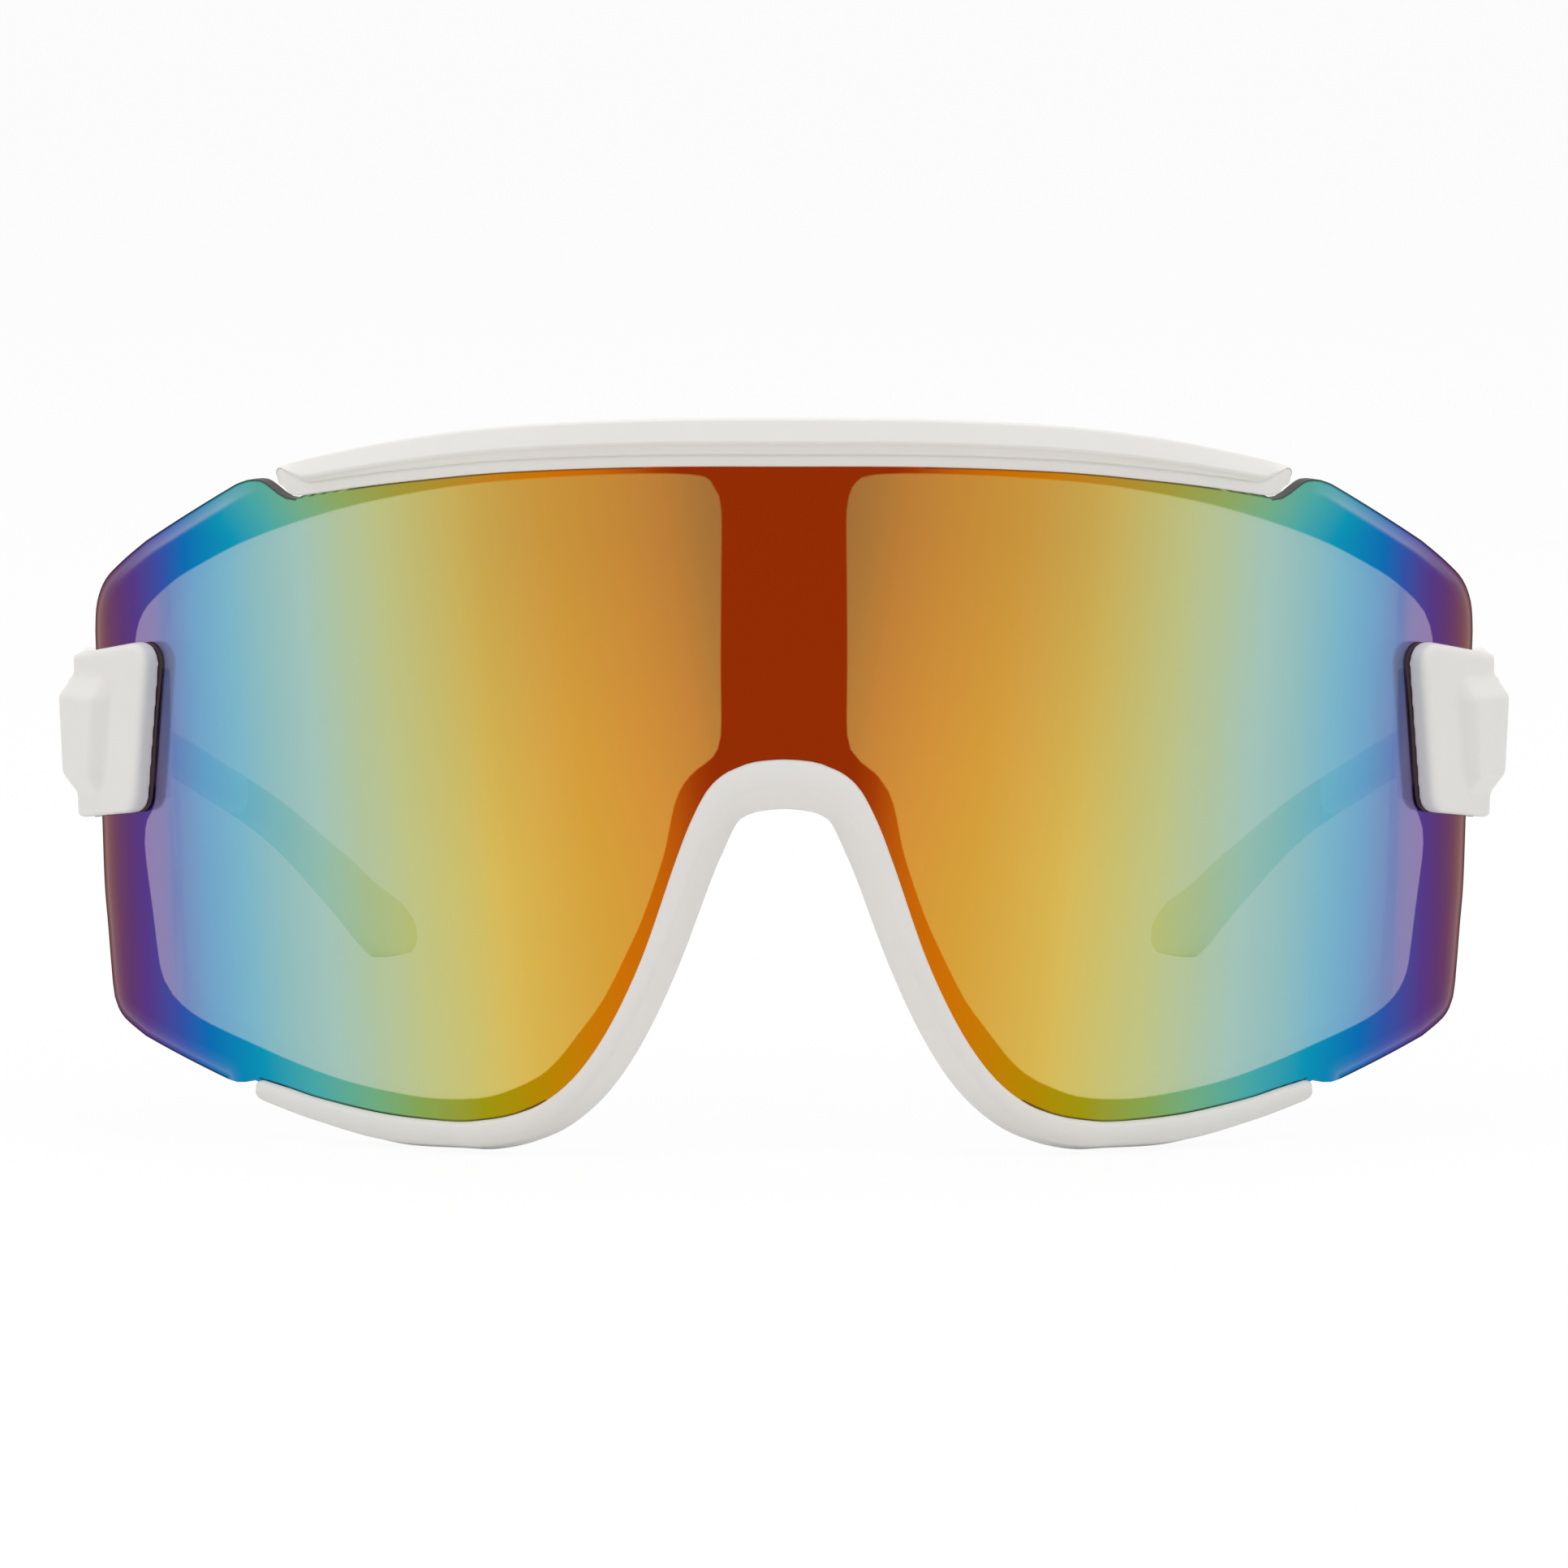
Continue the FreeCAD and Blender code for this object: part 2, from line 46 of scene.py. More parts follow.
# Flat places on the shield are (arc from the middle, height), wrapped on the lens's upright cylinder
shield = {"radius": 90 * mm, "thickness": 2 * mm, "halfArc": 82 * mm, "viewBase": 3.5 * mm,
          "viewHeight": 65.9 * mm, "seatDepth": 1.3 * mm}
lensLow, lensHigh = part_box("shield_lens")
axisY = lensLow.y + shield["radius"]


def onShield(s, z, r):
    angle = s / shield["radius"]
    return Vector((r * math.sin(angle), axisY - r * math.cos(angle), z))


def flatPlaces(shares):
    return [(a * shield["halfArc"], shield["viewBase"] + b * shield["viewHeight"]) for a, b in shares]


def mirrored(line):
    return [(-s, z) for s, z in reversed(line)]


def smoothLine(points, step, closed=False):
    # a Catmull-Rom curve through any number of columns, with a point about every step
    p = np.array(points, float)
    count = len(p)
    out = []
    for i in range(count if closed else count - 1):
        near = [k % count if closed else min(max(k, 0), count - 1) for k in range(i - 1, i + 3)]
        a, b, c, d = p[near]
        parts = max(1, int(round(np.linalg.norm((c - b)[:2]) / step)))
        for t in np.arange(parts) / parts:
            out.append(0.5 * (2 * b + (c - a) * t + (2 * a - 5 * b + 4 * c - d) * t ** 2
                              + (3 * b - a - 3 * c + d) * t ** 3))
    if not closed:
        out.append(p[-1])
    return [tuple(v) for v in out]


# Colour and node helpers
def hexColor(code):
    parts = [int(code[i:i + 2], 16) / 255 for i in (1, 3, 5)]
    return (*[c / 12.92 if c <= 0.04045 else ((c + 0.055) / 1.055) ** 2.4 for c in parts], 1.0)


def addNode(tree, kind, inputs=(), stops=(), **settings):
    # inputs go by the sockets' names or order, and what comes from another node is linked
    node = tree.nodes.new("ShaderNode" + kind)
    for name, value in settings.items():
        setattr(node, name, value)
    for name, value in (inputs.items() if isinstance(inputs, dict) else enumerate(inputs)):
        if isinstance(value, bpy.types.NodeSocket):
            tree.links.new(value, node.inputs[name])
        else:
            node.inputs[name].default_value = value
    if stops:
        elements = node.color_ramp.elements
        elements.remove(elements[-1])
        elements[0].position, elements[0].color = stops[0]
        for place, color in stops[1:]:
            elements.new(place).color = color
    return node.outputs


def newMaterial(name):
    material = bpy.data.materials.new(name)
    material.use_nodes = True
    tree = material.node_tree
    return material, tree, tree.nodes["Principled BSDF"]


# Mirrored polycarbonate: a hard vacuum coat whose hue runs from red-brown in the middle to violet at the
# sides, bare in a band round the view and paler over the two big lobes, where some light passes. Their
# paleness is also a painted reflection of bright panels, and near the middle they are darkened by painted
# shade
coat = {"span": 74 * mm, "middle": 38 * mm, "lobeAlpha": 0.62, "bandAlpha": 1.0, "edgeBlur": 0.10,
        "metallic": 0.97, "roughness": 0.12,
        "leanNear": 0.135, "leanFar": 0.03, "leanFrom": 20 * mm, "leanTo": 66 * mm,
        "streak": 1.2 * mm, "streakSize": 9 * mm, "streakDetail": 3.0, "streakStretch": (1, 1, 0.15),
        "topFrom": 60.5 * mm, "topPull": 0.6, "topSide": [25 * mm, 45 * mm, 57 * mm, 62 * mm],
        # painted light on the upper band, and painted light and shade on the lobes near the middle, darker
        # at the top and lighter lower down
        "veil": 0.065, "veilFrom": 58 * mm, "veilTo": 64 * mm,
        "veilSide": [26 * mm, 40 * mm, 46 * mm, 53 * mm],
        "glow": [-0.10, 0.13], "glowFrom": 62 * mm, "glowTo": 28 * mm, "glowSide": [42 * mm, 28 * mm],
        # places along the hue in mm
        "lobe": [(2, "#A97138"), (5, "#B37A36"), (8.4, "#C58335"), (13.2, "#CE8E34"), (21.5, "#D39D3C"),
                 (29.9, "#CEB153"), (34, "#C5BA6D"), (38.5, "#BDC184"), (43, "#B1C39F"), (47.1, "#A3C4B9"),
                 (51.5, "#92BDBE"), (55.5, "#7CB5CA"), (59, "#72A6CA"), (62.2, "#788CBD"),
                 (63.2, "#8287B7"), (64, "#8B83B2"), (67, "#987AAB")],
        "band": [(6.5, "#932C01"), (8.8, "#A23A04"), (11.3, "#B85408"), (14, "#C66404"), (18.1, "#CD6F02"),
                 (22.3, "#C97802"), (29.1, "#B18A01"), (33.8, "#9E960E"), (39.8, "#86A552"),
                 (44.6, "#6DAC84"), (49.5, "#47A7A6"), (54.4, "#0694B4"), (57.5, "#0281B3"),
                 (60.3, "#0169B2"), (62.6, "#2C50A7"), (66.2, "#523183"), (67.8, "#5C2E6C"),
                 (68.9, "#663660"), (70.2, "#7A4742"), (71.6, "#7C4C4A")],
        # what passes the coat, as linear shares: the rest of the light, so warm where the coat is blue
        "filter": [(8, (0.10, 0.08, 0.05)), (20, (0.13, 0.13, 0.10)), (28, (0.18, 0.18, 0.20)),
                   (34, (0.28, 0.27, 0.34)), (40, (0.39, 0.31, 0.51)), (44, (0.47, 0.33, 0.50)),
                   (48, (0.56, 0.32, 0.42)), (52, (0.60, 0.34, 0.30)), (56, (0.52, 0.33, 0.20)),
                   (60, (0.42, 0.32, 0.24)), (62.2, (0.38, 0.29, 0.24)), (63.2, (0.08, 0.07, 0.06)),
                   (64, (0.02, 0.02, 0.02))],
        # the painted highlight of a polished bevel, in the pale colour that the painted light on the band
        # also takes: share of the edge's reach, and how much paler it is there
        "pale": "#D2CCD6", "wideFrom": 55 * mm, "wideTo": 60 * mm,
        "bevelHighlightFrom": 53 * mm, "bevelHighlightTo": 56.5 * mm,
        "bevelHighlightNarrow": [(0.10, 0.0), (0.22, 0.05), (0.30, 0.15), (0.38, 0.09), (0.60, 0.03), (1.0, 0.0)],
        "bevelHighlightWide": [(0.06, 0.0), (0.16, 0.10), (0.36, 0.19), (0.58, 0.28), (0.65, 0.18), (0.73, 0.03),
                      (0.82, 0.0)],
        # painted shade along the cut edge and a painted contact shadow along the seams, in the line colour:
        # shares of the edge's reach between which a line fades out, and the least that shows
        "line": "#2C1B22", "lineLeast": 0.2, "edgeShadeLine": [0.05, 0.13], "seamShadowLine": [0.03, 0.10]}


def overWhite(u, color, alpha):
    # the coat's own colour, so that with filtered white behind it the eye gets the colour asked for
    places, filters = zip(*coat["filter"])
    passed = [np.interp(u, places, [f[k] for f in filters]) for k in range(3)]
    return (*[max(0.0, (c - (1 - alpha) * f) / alpha) for c, f in zip(color, passed)], 1.0)


def hueAlong(tree):
    # hue runs with the side place, leaning inwards with height, a little uneven
    place = addNode(tree, "TexCoord")["Object"]
    parts = addNode(tree, "SeparateXYZ", [place])
    side = addNode(tree, "Math", [parts["X"]], operation="ABSOLUTE")[0]
    height = parts["Z"]
    leanAlong = [side, coat["leanFrom"], coat["leanTo"], coat["leanNear"], coat["leanFar"]]
    lean = addNode(tree, "MapRange", leanAlong)[0]
    fall = addNode(tree, "Math", [coat["middle"], height], operation="SUBTRACT")[0]
    stretched = addNode(tree, "Mapping", {"Vector": place, "Scale": coat["streakStretch"]})[0]
    noise = {"Vector": stretched, "Scale": 1 / coat["streakSize"], "Detail": coat["streakDetail"]}
    streak = addNode(tree, "TexNoise", noise)[0]
    uneven = addNode(tree, "Math", [streak, coat["streak"], side], operation="MULTIPLY_ADD")[0]
    leant = addNode(tree, "Math", [lean, fall, uneven], operation="MULTIPLY_ADD")[0]
    hue = addNode(tree, "Math", [leant, coat["streak"] / 2], operation="SUBTRACT")[0]
    return side, height, hue


def sideWindow(tree, side, places):
    # rises between the first two side places and falls between the last two
    nearIn, nearOut, farIn, farOut = places
    rise = addNode(tree, "MapRange", [side, nearIn, nearOut])[0]
    fall = addNode(tree, "MapRange", [side, farOut, farIn])[0]
    return addNode(tree, "Math", [rise, fall], operation="MULTIPLY")[0]


def mirrorCoat():
    material, tree, shader = newMaterial("mirrored_polycarbonate")
    side, height, hue = hueAlong(tree)
    lobe, edge, seam = [addNode(tree, "Attribute", attribute_name=name)["Fac"]
                        for name in ("lobe", "edge", "seam")]
    # the band's hue is pulled inwards along the top
    over = addNode(tree, "Math", [height, coat["topFrom"]], operation="SUBTRACT")[0]
    over = addNode(tree, "Math", [over, 0.0], operation="MAXIMUM")[0]
    pull = addNode(tree, "Math", [over, sideWindow(tree, side, coat["topSide"])], operation="MULTIPLY")[0]
    pull = addNode(tree, "Math", [pull, coat["topPull"]], operation="MULTIPLY")[0]
    hues = {"lobe": hue, "band": addNode(tree, "Math", [hue, pull], operation="SUBTRACT")[0]}
    # the lobes' colour stops hold a painted reflection, which makes them paler, and painted shade near the
    # middle, which makes them darker
    colors = {}
    for name, along in hues.items():
        alpha = coat[name + "Alpha"]
        stops = [(u * mm / coat["span"], overWhite(u, hexColor(c), alpha)) for u, c in coat[name]]
        share = addNode(tree, "MapRange", [along, 0.0, coat["span"]])[0]
        colors[name] = addNode(tree, "ValToRGB", [share], stops)[0]
    mask = addNode(tree, "MapRange", [lobe, -coat["edgeBlur"], coat["edgeBlur"]])[0]
    # painted light and shade on the lobes near the middle: darker at the top, lighter lower down
    rise = addNode(tree, "MapRange", [height, coat["glowFrom"], coat["glowTo"], *coat["glow"]])[0]
    near = addNode(tree, "MapRange", [side, *coat["glowSide"]])[0]
    glow = addNode(tree, "Math", [near, rise, 1.0], operation="MULTIPLY_ADD")[0]
    lit = addNode(tree, "VectorMath", {0: colors["lobe"], "Scale": glow}, operation="SCALE")[0]
    both = {"Factor": mask, "A": colors["band"], "B": lit}
    both = addNode(tree, "Mix", both, data_type="RGBA")["Result"]
    # the painted highlight of a polished bevel along the free edges, wider on the upper slopes
    narrow, wide = [addNode(tree, "ValToRGB", [edge], [(v, (w, w, w, 1.0)) for v, w in coat[name]])[0]
                    for name in ("bevelHighlightNarrow", "bevelHighlightWide")]
    upper = addNode(tree, "MapRange", [height, coat["wideFrom"], coat["wideTo"]])[0]
    bevelHighlight = addNode(tree, "Mix", {"Factor": upper, "A": narrow, "B": wide}, data_type="RGBA")["Result"]
    outer = addNode(tree, "MapRange", [side, coat["bevelHighlightFrom"], coat["bevelHighlightTo"]])[0]
    bevelHighlight = addNode(tree, "Math", [bevelHighlight, outer], operation="MULTIPLY")[0]
    # the light on the bare band
    veil = addNode(tree, "MapRange", [height, coat["veilFrom"], coat["veilTo"], 0.0, coat["veil"]])[0]
    veil = addNode(tree, "Math", [veil, sideWindow(tree, side, coat["veilSide"])], operation="MULTIPLY")[0]
    bare = addNode(tree, "Math", [1.0, mask], operation="SUBTRACT")[0]
    veil = addNode(tree, "Math", [veil, bare], operation="MULTIPLY")[0]
    # painted highlight and painted light, mixed in as the pale colour
    paler = addNode(tree, "Math", [bevelHighlight, veil], operation="ADD")[0]
    paled = {"Factor": paler, "A": both, "B": hexColor(coat["pale"])}
    paled = addNode(tree, "Mix", paled, data_type="RGBA")["Result"]
    # the painted shade along the cut edge and the painted contact shadow along the seams
    edgeShade, seamShadow = [addNode(tree, "MapRange", [value, *coat[name], coat["lineLeast"], 1.0])[0]
                          for name, value in (("edgeShadeLine", edge), ("seamShadowLine", seam))]
    dark = addNode(tree, "Math", [edgeShade, seamShadow], operation="MINIMUM")[0]
    lined = {"Factor": dark, "A": hexColor(coat["line"]), "B": paled}
    lined = addNode(tree, "Mix", lined, data_type="RGBA")["Result"]
    tree.links.new(lined, shader.inputs["Base Color"])
    alpha = addNode(tree, "MapRange", [mask, 0.0, 1.0, coat["bandAlpha"], coat["lobeAlpha"]])[0]
    tree.links.new(alpha, shader.inputs["Alpha"])
    shader.inputs["Metallic"].default_value = coat["metallic"]
    shader.inputs["Roughness"].default_value = coat["roughness"]
    return material


# Amber polycarbonate: the glossy inner face, which filters what is seen through the lens. A plate this thin
# hardly moves what is behind it, so the index stays near 1 and a clear coat gives the gloss
def amberLens():
    material, tree, shader = newMaterial("amber_polycarbonate")
    hue = hueAlong(tree)[2]
    # the shader filters by the square root of its colour
    stops = [(u * mm / coat["span"], (*[f * f for f in passed], 1.0)) for u, passed in coat["filter"]]
    share = addNode(tree, "MapRange", [hue, 0.0, coat["span"]])[0]
    tree.links.new(addNode(tree, "ValToRGB", [share], stops)[0], shader.inputs["Base Color"])
    shader.inputs["Transmission Weight"].default_value = 1.0
    shader.inputs["Roughness"].default_value = 0.0
    shader.inputs["IOR"].default_value = 1.01
    shader.inputs["Coat Weight"].default_value = 1.0
    shader.inputs["Coat Roughness"].default_value = 0.04
    return material


# Cut edge of the lens: light is lost in it, so it reads as a dark line
edgeForm = {"light": "#3A3234", "shade": "#2A2426", "mark": 2 * mm, "detail": 2.0}


def cutEdge():
    material, tree, shader = newMaterial("cut_polycarbonate_edge")
    noise = {"Vector": addNode(tree, "TexCoord")["Object"], "Scale": 1 / edgeForm["mark"],
             "Detail": edgeForm["detail"]}
    marks = addNode(tree, "TexNoise", noise)[0]
    tones = {"Factor": marks, "A": hexColor(edgeForm["shade"]), "B": hexColor(edgeForm["light"])}
    color = addNode(tree, "Mix", tones, data_type="RGBA")["Result"]
    tree.links.new(color, shader.inputs["Base Color"])
    shader.inputs["Roughness"].default_value = 0.45
    shader.inputs["IOR"].default_value = 1.58
    shader.inputs["Specular IOR Level"].default_value = 0.12
    return material


# Moulded plastics and rubbers: an eroded grain that dulls the shine, drawn coarser than the real one so that
# it shows, and a tone that is a little uneven
mouldForm = {"cloud": 14 * mm, "cloudDetail": 3.0, "grainDetail": 2.0, "bump": 0.25, "spread": 0.05}


def moulded(name, light, shade, roughness, grain, depth):
    material, tree, shader = newMaterial(name)
    place = addNode(tree, "TexCoord")["Object"]
    cloud, fine = [addNode(tree, "TexNoise", {"Vector": place, "Scale": 1 / size, "Detail": detail})[0]
                   for size, detail in ((mouldForm["cloud"], mouldForm["cloudDetail"]),
                                        (grain, mouldForm["grainDetail"]))]
    tones = {"Factor": cloud, "A": hexColor(shade), "B": hexColor(light)}
    color = addNode(tree, "Mix", tones, data_type="RGBA")["Result"]
    spread = mouldForm["spread"]
    dull = addNode(tree, "MapRange", [cloud, 0.0, 1.0, roughness - spread, roughness + spread])[0]
    bump = addNode(tree, "Bump", {"Height": fine, "Strength": mouldForm["bump"], "Distance": depth})[0]
    for socket, source in (("Base Color", color), ("Roughness", dull), ("Normal", bump)):
        tree.links.new(source, shader.inputs[socket])
    shader.inputs["IOR"].default_value = 1.5
    return material


# Turned stainless steel: the tool's marks, drawn coarser than the real ones, break up its shine
steelForm = {"light": "#C4C4C6", "shade": "#A9A9AB", "mark": 0.3 * mm, "detail": 2.0, "dull": (0.22, 0.38)}


def turnedSteel():
    material, tree, shader = newMaterial("turned_stainless_steel")
    noise = {"Vector": addNode(tree, "TexCoord")["Object"], "Scale": 1 / steelForm["mark"],
             "Detail": steelForm["detail"]}
    marks = addNode(tree, "TexNoise", noise)[0]
    tones = {"Factor": marks, "A": hexColor(steelForm["shade"]), "B": hexColor(steelForm["light"])}
    color = addNode(tree, "Mix", tones, data_type="RGBA")["Result"]
    tree.links.new(color, shader.inputs["Base Color"])
    dull = addNode(tree, "MapRange", [marks, 0.0, 1.0, *steelForm["dull"]])[0]
    tree.links.new(dull, shader.inputs["Roughness"])
    shader.inputs["Metallic"].default_value = 1.0
    return material


# The moulded ones give two tones, the roughness, and the grain's size and depth
finishes = {
    "coat": mirrorCoat(),
    "lensBack": amberLens(),
    "lensEdge": cutEdge(),
    "white": moulded("satin_white_nylon", "#EBE9E6", "#E5E2DF", 0.45, 0.25 * mm, 0.02 * mm),
    "rubber": moulded("white_soft_rubber", "#DEDBD7", "#D6D2CE", 0.72, 0.4 * mm, 0.03 * mm),
    "gasket": moulded("brown_rubber", "#54424A", "#46363E", 0.8, 0.3 * mm, 0.04 * mm),
    "acetal": moulded("dark_acetal", "#2A2A2C", "#202022", 0.4, 0.3 * mm, 0.01 * mm),
    "steel": turnedSteel(),
}
print("materials:", len(finishes))


# Modelling helpers
joinReach = 0.001 * mm
shadeDegrees = {"lens": 30, "bar": 60, "soft": 180, "arm": 35, "pad": 30, "screw": 35}


def onlySelect(piece):
    bpy.ops.object.select_all(action="DESELECT")
    bpy.context.view_layer.objects.active = piece
    piece.select_set(True)


def applyModifier(piece, kind, **settings):
    onlySelect(piece)
    modifier = piece.modifiers.new(kind.lower(), kind)
    for name, value in settings.items():
        setattr(modifier, name, value)
    bpy.ops.object.modifier_apply(modifier=modifier.name)


def smoothShade(piece, kind):
    onlySelect(piece)
    bpy.ops.object.shade_smooth_by_angle(angle=math.radians(shadeDegrees[kind]))


def placePiece(piece, body, slotName, finish, *nodes):
    if finish:
        piece.data.materials.clear()
        piece.data.materials.append(finishes[finish])
    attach(piece, body)
    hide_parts(*nodes)
    return piece


def loftPiece(name, rings):
    # a grid bent round so that each row of it is one ring, closed at both ends
    across = len(rings[0])
    bpy.ops.object.select_all(action="DESELECT")
    bpy.ops.mesh.primitive_grid_add(x_subdivisions=across, y_subdivisions=len(rings) - 1,
                                    size=shield["radius"])
    piece = bpy.context.object
    piece.name = name
    for i, vertex in enumerate(piece.data.vertices):
        row, column = divmod(i, across + 1)
        vertex.co = rings[row][column % across]
    onlySelect(piece)
    bpy.ops.object.mode_set(mode="EDIT")
    bpy.ops.mesh.select_all(action="SELECT")
    bpy.ops.mesh.remove_doubles(threshold=2 * joinReach)
    bpy.ops.mesh.fill_holes(sides=0)
    bpy.ops.mesh.select_all(action="SELECT")
    bpy.ops.mesh.normals_make_consistent(inside=False)
    bpy.ops.object.mode_set(mode="OBJECT")
    return piece


def castCopy(name, node):
    # the node's own solid as a new piece, its loose triangles joined
    piece = bpy.data.objects.new(name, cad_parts[node].data.copy())
    bpy.context.scene.collection.objects.link(piece)
    onlySelect(piece)
    bpy.ops.object.mode_set(mode="EDIT")
    bpy.ops.mesh.select_all(action="SELECT")
    bpy.ops.mesh.remove_doubles(threshold=joinReach)
    bpy.ops.object.mode_set(mode="OBJECT")
    return piece


# Rim and brow bar: their seams come first, because the lens's outline follows them
rimForm = {"width": 3.5 * mm, "round": 1.5 * mm, "rowStep": 0.7 * mm, "leastGrow": 0.02,
           "seamShares": [(0.0, 0.5605), (0.035, 0.5568), (0.054, 0.549), (0.074, 0.5365), (0.093, 0.5125),
                          (0.113, 0.464), (0.133, 0.398), (0.172, 0.258), (0.212, 0.152), (0.252, 0.079),
                          (0.293, 0.0345), (0.334, 0.0115), (0.376, 0.0002), (0.418, -0.0042),
                          (0.506, 0.0003), (0.599, 0.0155), (0.648, 0.0272), (0.702, 0.0385)],
           # from the seam to the outer edge, as shares of the width
           "wayShares": [(0.0, -1.51), (-0.15, -1.50), (-0.24, -1.45), (-0.41, -1.39), (-0.66, -1.24),
                         (-0.89, -0.84), (-0.98, -0.46), (-0.90, -0.38), (-0.83, -0.46), (-0.71, -0.62),
                         (-0.50, -0.80), (-0.30, -0.90), (-0.14, -0.95), (0.0, -0.895), (0.10, -0.97),
                         (0.15, -0.85), (0.15, -0.815), (0.10, -0.71)],
           # the section: share of the way, and how far in front of the lens's face in mm
           "core": -1.1,
           "front": [(0.0, 0.12), (0.0, 0.70), (0.03, 0.92), (0.10, 1.0), (0.30, 1.0), (0.42, 0.97),
                     (0.50, 0.84), (0.58, 0.50), (0.88, -1.95), (0.97, -2.65)],
           "back": [(1.0, -2.95), (0.98, -3.2), (0.92, -3.3), (0.10, -3.3), (0.02, -3.2), (0.0, -3.0),
                    (0.0, -2.12), (0.37, -2.12), (0.37, 0.12)],
           # under the lens its flat front is broader
           "lowFrom": 20 * mm, "lowTo": 28 * mm,
           "lowFront": [(0.0, 0.12), (0.0, 0.45), (0.05, 0.80), (0.15, 0.98), (0.42, 1.0), (0.58, 0.94),
                        (0.68, 0.74), (0.76, 0.36), (0.92, -1.95), (0.98, -2.65)]}
rimSeam = flatPlaces(rimForm["seamShares"])
rimWays = [(a * rimForm["width"], b * rimForm["width"]) for a, b in rimForm["wayShares"]]
rimRows = [(s, z, a, b) for (s, z), (a, b) in zip(rimSeam, rimWays)]
browForm = {"height": 4.9 * mm, "endHeight": 3.6 * mm, "round": 1.0 * mm, "rowStep": 0.8 * mm,
            "leastGrow": 0.08, "leastDepthShare": 0.7,
            # the ends: how the lower edge rises to the upper corner
            "taper": 5 * mm, "lean": 1.7 * mm, "slope": 1.5, "bend": 0.9 * mm, "tip": 2.2 * mm,
            "seamShares": [(0.0, 1.002), (0.171, 1.0), (0.335, 0.9895), (0.463, 0.972), (0.554, 0.956),
                           (0.635, 0.9385)],
            "extraShares": [1.0, 0.95, 0.82, 0.58, 0.24, 0.0],
            # the section in mm, in front of the lens's face: at the ends and elsewhere
            "core": -1.0, "step": (1.25, 1.75), "crown": (1.35, 2.65),
            # the step's share of the height, and how far the crown leans back: at the ends and in the middle
            "gapShares": (0.10, 0.261), "back": (1.1, 0.5),
            "lip": 1.2, "lipTall": 1.2, "lipEndShare": 0.84, "front": 0.14, "behind": -2.14,
            "groove": 1.4, "grooveShare": 0.5, "roundness": 0.4, "lowShare": 0.12, "softShare": 0.24,
            "footShare": 0.7}
browSeam = flatPlaces(browForm["seamShares"])


# Lens: a flat plate cut to its outline, wrapped and thickened
lensForm = {"step": 1.4 * mm, "outlineStep": 0.8 * mm, "lobeStep": 0.5 * mm, "edgeReach": 2.2 * mm,
            "notchCut": 0.6 * mm,
            # first seam points with a painted shadow line, past the brow's middle and the nose arch
            "browFrom": 1, "rimFrom": 10,
            "rows": [v * mm for v in (0.1, 0.1, 0.15, 0.15, 0.15, 0.15, 0.2, 0.3, 0.3, 0.2, 0.2, 0.2)],
            "lowerShoulderShares": [(0.706, 0.035), (0.719, 0.029), (0.733, 0.0275), (0.750, 0.031)],
            "sideShares": [(0.899, 0.080), (0.932, 0.097), (0.949, 0.109), (0.960, 0.126), (0.967, 0.152),
                           (0.977, 0.246), (0.984, 0.313), (0.988, 0.416), (0.994, 0.547), (0.999, 0.678),
                           (0.9997, 0.716), (0.995, 0.754), (0.976, 0.790), (0.940, 0.821), (0.890, 0.857)],
            "upperShoulderShares": [(0.729, 0.954), (0.709, 0.962), (0.689, 0.963), (0.675, 0.956),
                                    (0.660, 0.945), (0.648, 0.9385), (0.634, 0.937)],
            # flat places in mm
            "lobe": [(6.25, 44.5), (6.3, 50), (6.25, 58), (6.2, 64.2), (6.4, 66.4), (7.1, 67.9), (8.7, 68.6),
                     (14.1, 68.7), (23.4, 68.2), (32.9, 67.2), (43, 65.3), (51.2, 63.1), (58.7, 60.6),
                     (65, 57.9), (68.5, 56.2), (71.9, 54), (73.5, 52.6), (74.5, 51), (74.9, 49.4),
                     (75, 47), (74.6, 42), (73, 37.5), (71.9, 35), (71.9, 33.3), (72.5, 32.0),
                     (73.3, 31.0), (73.6, 28.7), (73.2, 26), (72.3, 21.5), (71.5, 17.1), (70.9, 15.3),
                     (69.6, 13.7), (67.6, 12.4), (64.5, 11.2), (57.7, 9.4), (52.9, 8.1), (47.4, 6.8),
                     (42.4, 6.0), (37.4, 5.5), (33.8, 5.5), (30.5, 5.85), (28.1, 6.6), (25, 8.1),
                     (22.9, 9.9), (20.7, 12.7), (18.1, 16.3), (15.2, 22.1), (13.8, 25.4), (12, 30.8),
                     (11.3, 34.2), (10.85, 36.1), (10.2, 37.6), (9.3, 38.8), (8.4, 39.6), (7.3, 40.4),
                     (6.7, 41.2), (6.35, 42.4)]}


def lensOutline():
    # the whole outline, and the free edge of its left half
    seatShare = shield["seatDepth"] / rimForm["width"]
    seat = [(s + a * seatShare, z + b * seatShare) for s, z, a, b in rimRows[:-1]]
    top = [(s, z + shield["seatDepth"]) for s, z in browSeam[:-1]]
    step = lensForm["outlineStep"]
    lower, side, upper = [smoothLine(flatPlaces(lensForm[name]), step)
                          for name in ("lowerShoulderShares", "sideShares", "upperShoulderShares")]
    half = smoothLine(seat, step) + lower + side + upper + list(reversed(smoothLine(top, step)))
    return half + mirrored(half)[1:-1], lower[-1:] + side + upper


def distances(points, line, closed=False):
    # shortest way from each point to a line of flat places
    ends = np.array(line + line[:1] if closed else line)
    best = np.full(len(points), np.inf)
    for a, b in zip(ends, ends[1:]):
        way = b - a
        t = np.clip(((points - a) @ way) / max(way @ way, np.finfo(float).tiny), 0, 1)
        best = np.minimum(best, np.linalg.norm(points - a - t[:, None] * way, axis=1))
    return best


